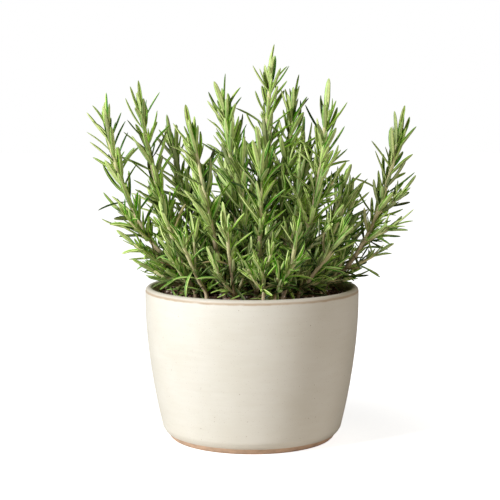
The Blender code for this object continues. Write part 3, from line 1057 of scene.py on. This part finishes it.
def clothe(route, look, rng, start, radius_at, low_length, turn, vigour):
    """Pairs of needles up a stem, each pair a quarter turn from the last, with tufts above some of them."""
    needles = []
    distance = start
    while distance < route.length - LAST_PAIR:
        progress = (distance - start) / (route.length - start)
        heading = route.heading(distance)
        middle = route.at(distance)
        closed = math.exp((distance - route.length) / min(look.sheaf_length, 0.5 * route.length))
        opening = look.low_opening + (look.top_opening - look.low_opening) * closed
        length = needle_length(look, progress, low_length, vigour)
        low, shaded = low_and_shaded(middle)
        # Painted shade: needles deep in the bush are darker, and low ones too, partly as older needles
        usual_tone = USUAL_TONE + TIP_TONE * progress + LOW_TONE * low + SHADED_TONE * shaded
        tuft_chance = look.tuft_chance * (1 - progress**3) * (1 - 0.3 * low)
        for half in (0, math.pi):
            side = across_line(heading, turn + half + rng.normal(0, 0.38))
            base = middle + side * radius_at(distance) * 0.55
            tone = float(np.clip(rng.normal(usual_tone, TONE_SPREAD + 0.1 * low), 0, 1))
            dryness = float(rng.uniform(0.4, 1)) if rng.uniform() < 0.06 * low else 0.0
            lean = opening * max(0.3, rng.normal(1, 0.27)) * (1 + 0.5 * low) + low * rng.normal(0, 0.3)
            reach = length * rng.uniform(0.78, 1.1)
            form = needle_form(look, rng, reach, tone, dryness, low)
            needles.append(try_needle(base, heading, side, lean, reach, form))
            if rng.uniform() < tuft_chance:
                needles += tuft(base, heading, side, lean, length, look, rng, tone)
        spacing = look.low_spacing + (look.top_spacing - look.low_spacing) * progress
        distance += spacing * rng.uniform(0.7, 1.3) * (1 + 0.2 * low)
        turn += math.pi / 2
    needles += tip_needles(route, look, rng, turn, vigour)
    return [needle for needle in needles if needle]


def tuft(base, heading, side, opening, length, look, rng, tone):
    """Small needles in the corner between a needle and its stem."""
    number = int(rng.integers(2, 5))
    made = []
    for _ in range(number):
        spread = across_line(side, rng.uniform(0, math.tau))
        outwards = unit(side + spread * 0.55)
        lean = opening * rng.uniform(0.25, 0.8)
        reach = length * rng.uniform(0.3, 0.62)
        form = needle_form(look, rng, reach, min(1, tone + 0.15))
        made.append(try_needle(base + heading * 0.6 * MM, heading, outwards, lean, reach, form))
    return made


def tip_needles(route, look, rng, turn, vigour):
    """The closed needles round a growing tip."""
    made = []
    end = route.length - 1.0 * MM
    heading = route.heading(end)
    for index in range(TIP_NEEDLES):
        side = across_line(heading, turn + index * TIP_TURN + rng.normal(0, 0.2))
        base = route.at(end - index * TIP_NEEDLE_STEP)
        reach = look.tip_length * vigour * (1.05 - 0.03 * index - rng.uniform(0, 0.35) * (index > 0))
        form = needle_form(look, rng, reach, float(rng.uniform(0.4, 1)))
        lean = 0.04 + 0.075 * index + rng.uniform(0, 0.1)
        made.append(try_needle(base, heading, side, lean, reach, form))
    return made


def side_shoot(route, distance, turn, length, rng):
    """The line of a side shoot: it leaves at an angle and bends up towards the light."""
    heading = route.heading(distance)
    side = across_line(heading, turn)
    direction = unit(heading * math.cos(SHOOT_ANGLE) + side * math.sin(SHOOT_ANGLE))
    point = route.at(distance)
    points = [point]
    upwards = unit(heading + np.array((0, 0, 0.8)))
    for _ in range(max(4, round(length / STEM_STEP))):
        direction = unit(direction + upwards * 0.055 + rng.normal(0, 0.02, 3))
        point = point + direction * STEM_STEP
        points.append(point)
    return Route(points)


def tapering(foot, tip, length):
    """Radius of a stem as a function of the distance along it."""
    return lambda distance: foot + (tip - foot) * min(1, max(0, distance / length)) ** 0.8


def tube_of(name, shoots):
    """Round stems through the shoots' lines, as one mesh."""
    curve = bpy.data.curves.new(name, "CURVE")
    curve.dimensions = "3D"
    curve.bevel_depth = 1
    curve.bevel_resolution = 2
    curve.use_fill_caps = True
    for shoot in shoots:
        spline = curve.splines.new("POLY")
        spline.points.add(len(shoot.points) - 1)
        places = np.column_stack([shoot.points, np.ones(len(shoot.points))])
        spline.points.foreach_set("co", places.ravel())
        spline.points.foreach_set("radius", shoot.radii)
    select_only(new_object(name, curve))
    bpy.ops.object.convert(target="MESH")
    tube = bpy.context.object
    tree = KDTree(sum(len(shoot.points) for shoot in shoots))
    ages = np.concatenate([shoot.youth for shoot in shoots])
    for index, place in enumerate(np.vstack([shoot.points for shoot in shoots])):
        tree.insert(place, index)
    tree.balance()
    set_attribute(tube.data, "youth", [ages[tree.find(vertex.co)[1]] for vertex in tube.data.vertices])
    return tube


def shoot_of(route, radius_at, first_youth, nodes_every):
    """A stem's line with its radii, a little thicker at each pair of needles, and how young it is."""
    swelling = 1 + 0.10 * np.cos(route.distances / nodes_every * math.tau) ** 8
    radii = np.array([radius_at(d) for d in route.distances]) * swelling
    radii[-1] *= 0.3
    youth = first_youth + (1 - first_youth) * route.distances / route.length
    return Shoot(route.points, radii, youth)


def sway_at(place, seed):
    """How a stem's line drifts at a place, in each of three directions, the same in every run."""
    point = Vector(place) / SWAY_WIDTH + Vector((seed, 0, 0))
    return [noise.noise(point + Vector((0, 0, shift))) for shift in SWAY_SHIFTS]


def swaying_line(node, seed):
    """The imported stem's middle line, smooth and with a little sway, without its last points."""
    line = smooth_line(stem_middles(node), STEM_STEP)
    sway = np.array([sway_at(place, seed) for place in line])
    line += sway * (SWAY * np.linspace(0, 1, len(line)) ** 0.5)[:, None]
    return line[:-TIP_CUT]


def shoot_places(route, look, rng, start, is_young):
    """How far up a stem its side shoots stand: some at its foot, unless it is young, and some further up."""
    low_shoots = 0 if is_young else look.basal_shoots
    places = [look.root_depth + rng.uniform(2, 14) * MM for _ in range(low_shoots)]
    distance = start + rng.uniform(0.1, 0.9) * look.shoot_spacing
    while distance < route.length * SHOOT_TOP:
        places.append(distance)
        distance += look.shoot_spacing * rng.uniform(0.7, 1.35)
    return places


def grow(node, look, needle, seed):
    """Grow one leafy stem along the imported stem: its wood, its side shoots and all their needles."""
    rng = np.random.default_rng(seed)
    route = Route(swaying_line(node, seed))
    vigour = min(1, max(0.7, route.length / (110 * MM)))
    slender = min(1, 0.62 + route.length / 0.35)
    radius_at = tapering(look.foot_radius * slender, look.tip_radius * slender**0.5, route.length)
    is_young = node.startswith("young")
    start = look.bare_length + rng.uniform(0, 1) * look.low_spacing
    shoots = [shoot_of(route, radius_at, 0.2 if is_young else 0.0, look.low_spacing)]
    turn = rng.normal(0, 0.35)
    needles = clothe(route, look, rng, start, radius_at, look.low_length, turn, vigour)
    for distance in shoot_places(route, look, rng, start, is_young):
        length = rng.uniform(*SHOOT_LENGTHS) * MM * (1 - 0.45 * distance / route.length)
        branch = side_shoot(route, distance, rng.uniform(0, math.tau), length, rng)
        if in_the_way(branch.points[len(branch.points) // 2:]):
            continue
        thin = tapering(radius_at(distance) * 0.72, look.tip_radius * 0.8, branch.length)
        shoots.append(shoot_of(branch, thin, 0.55, look.low_spacing))
        low_length, turn, vigour = rng.uniform(11, 18) * MM, rng.uniform(0, 3), rng.uniform(0.55, 0.8)
        needles += clothe(branch, look, rng, SHOOT_BARE, thin, low_length, turn, vigour)
    wood = tube_of("wood", shoots)
    leaves = needle_copies("leaves", needle, needles)
    for attribute in ("tone", "dryness"):
        set_attribute(wood.data, attribute, np.zeros(len(wood.data.vertices)))
    return wood, leaves


def join_pieces(name, main, other):
    """Join two meshes into the first one."""
    select_only(main)
    other.select_set(True)
    bpy.ops.object.join()
    main.name = name
    return main


class ROSEMARY_OT_sprigs(Operator):
    """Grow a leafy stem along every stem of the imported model"""

    bl_idname = "rosemary.sprigs"
    bl_label = "Leafy Stems"

    def execute(self, context):
        look = context.scene.rosemary_plant
        needle = model_needle()
        leaf = bpy.data.materials.get("rosemary_needle") or needle_material(look)
        bark = stem_material(look)
        for order, node in enumerate(stem_nodes()):
            wood, leaves = grow(node, look, needle, SEED + 1 + order)
            leaves.data.materials.append(leaf)
            wood.data.materials.append(bark)
            sprig = join_pieces(node.replace("stem", "sprig"), leaves, wood)
            smooth_shading(sprig, LEAF_CREASE)
            finish_piece(sprig, "rosemary", node)
        return {"FINISHED"}


# ---- Studio ----


def add_lamp(name, power, light_colour, width, place):
    """A large soft square light that looks at the plant."""
    data = bpy.data.lights.new(name, "AREA")
    data.energy = power
    data.color = light_colour
    data.size = width
    lamp = new_object(name, data)
    lamp.location = place
    lamp.rotation_euler = (Vector(LIT_MIDDLE) - Vector(place)).to_track_quat("-Z", "Y").to_euler()


def floor_material(look):
    """Plain pale floor that brightens to white away from the pot."""
    made, tree, shader, place = new_material("pale_floor")
    x, y, _ = add_node(tree, "SeparateXYZ", {0: place}).outputs
    far = fade(tree, distance_from_axis(tree, x, y), *FLOOR_FADE)
    seen = output_of(tree, "LightPath", output="Is Camera Ray")
    base = mix_colours(tree, seen, tuple(look.bounce * part for part in look.fill_tint), look.floor)
    glow = mix_colours(tree, times(tree, far, seen), (0, 0, 0), (1, 1, 1))
    glow = tint(tree, glow, seen, 0.8, (1, 1, 1))
    set_sockets(tree, shader, {"Base Color": base, "Roughness": 0.8})
    set_sockets(tree, shader, {"Emission Color": glow, "Emission Strength": 1.0})
    return made


class ROSEMARY_OT_stage(Operator):
    """Set up the floor, the lights and the camera"""

    bl_idname = "rosemary.stage"
    bl_label = "Studio"

    def execute(self, context):
        look = context.scene.rosemary_studio
        scene = context.scene
        bpy.ops.mesh.primitive_circle_add(vertices=96, radius=6, fill_type="NGON", location=(0, 0, -0.1 * MM))
        floor = context.object
        floor.name = "studio_floor"
        floor.data.materials.append(floor_material(look))
        add_lamp("key_light", look.key, look.key_tint, 0.4, KEY_PLACE)
        add_lamp("fill_light", look.fill, look.fill_tint, 0.7, FILL_PLACE)
        world = bpy.data.worlds.new("studio_sky")
        world.use_nodes = True
        scene.world = world
        sky = world.node_tree
        seen = output_of(sky, "LightPath", output="Is Camera Ray")
        even = tuple(look.sky * part for part in look.fill_tint)
        sky.links.new(mix_colours(sky, seen, even, (1, 1, 1)), sky.nodes["Background"].inputs["Color"])
        scene.view_settings.view_transform = "Standard"
        data = bpy.data.cameras.new("camera")
        data.lens = look.lens
        camera = new_object("camera", data)
        camera.location = (CAMERA_ASIDE, -look.camera_distance, look.camera_height)
        camera.rotation_euler = (look.camera_pitch, 0, 0)
        scene.camera = camera
        return {"FINISHED"}


# ---- Add-on ----


class ROSEMARY_PT_panel(Panel):
    """Settings and steps of the potted rosemary"""

    bl_idname = "ROSEMARY_PT_panel"
    bl_label = "Potted Rosemary"
    bl_space_type = "VIEW_3D"
    bl_region_type = "UI"
    bl_category = "Rosemary"

    def draw(self, context):
        for name, _, steps in SECTIONS:
            section = self.layout.box()
            settings = getattr(context.scene, name)
            for step in steps:
                section.operator(step.bl_idname)
            for setting in type(settings).__annotations__:
                section.prop(settings, setting)


SECTIONS = (
    ("rosemary_pot", PotLook, (ROSEMARY_OT_pot,)),
    ("rosemary_soil", SoilLook, (ROSEMARY_OT_soil, ROSEMARY_OT_litter)),
    ("rosemary_plant", PlantLook, (ROSEMARY_OT_sprigs,)),
    ("rosemary_studio", StudioLook, (ROSEMARY_OT_stage,)),
)


def register():
    """Register the settings, the steps and the panel."""
    for name, settings, steps in SECTIONS:
        bpy.utils.register_class(settings)
        setattr(bpy.types.Scene, name, PointerProperty(type=settings))
        for step in steps:
            bpy.utils.register_class(step)
    bpy.utils.register_class(ROSEMARY_PT_panel)


def unregister():
    """Take the panel, the steps and the settings away again."""
    bpy.utils.unregister_class(ROSEMARY_PT_panel)
    for name, settings, steps in reversed(SECTIONS):
        for step in reversed(steps):
            bpy.utils.unregister_class(step)
        delattr(bpy.types.Scene, name)
        bpy.utils.unregister_class(settings)


def main():
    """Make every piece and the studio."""
    register()
    bpy.ops.rosemary.pot()
    bpy.ops.rosemary.soil()
    bpy.ops.rosemary.litter()
    bpy.ops.rosemary.sprigs()
    bpy.ops.rosemary.stage()
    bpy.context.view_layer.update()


if __name__ == "__main__":
    main()
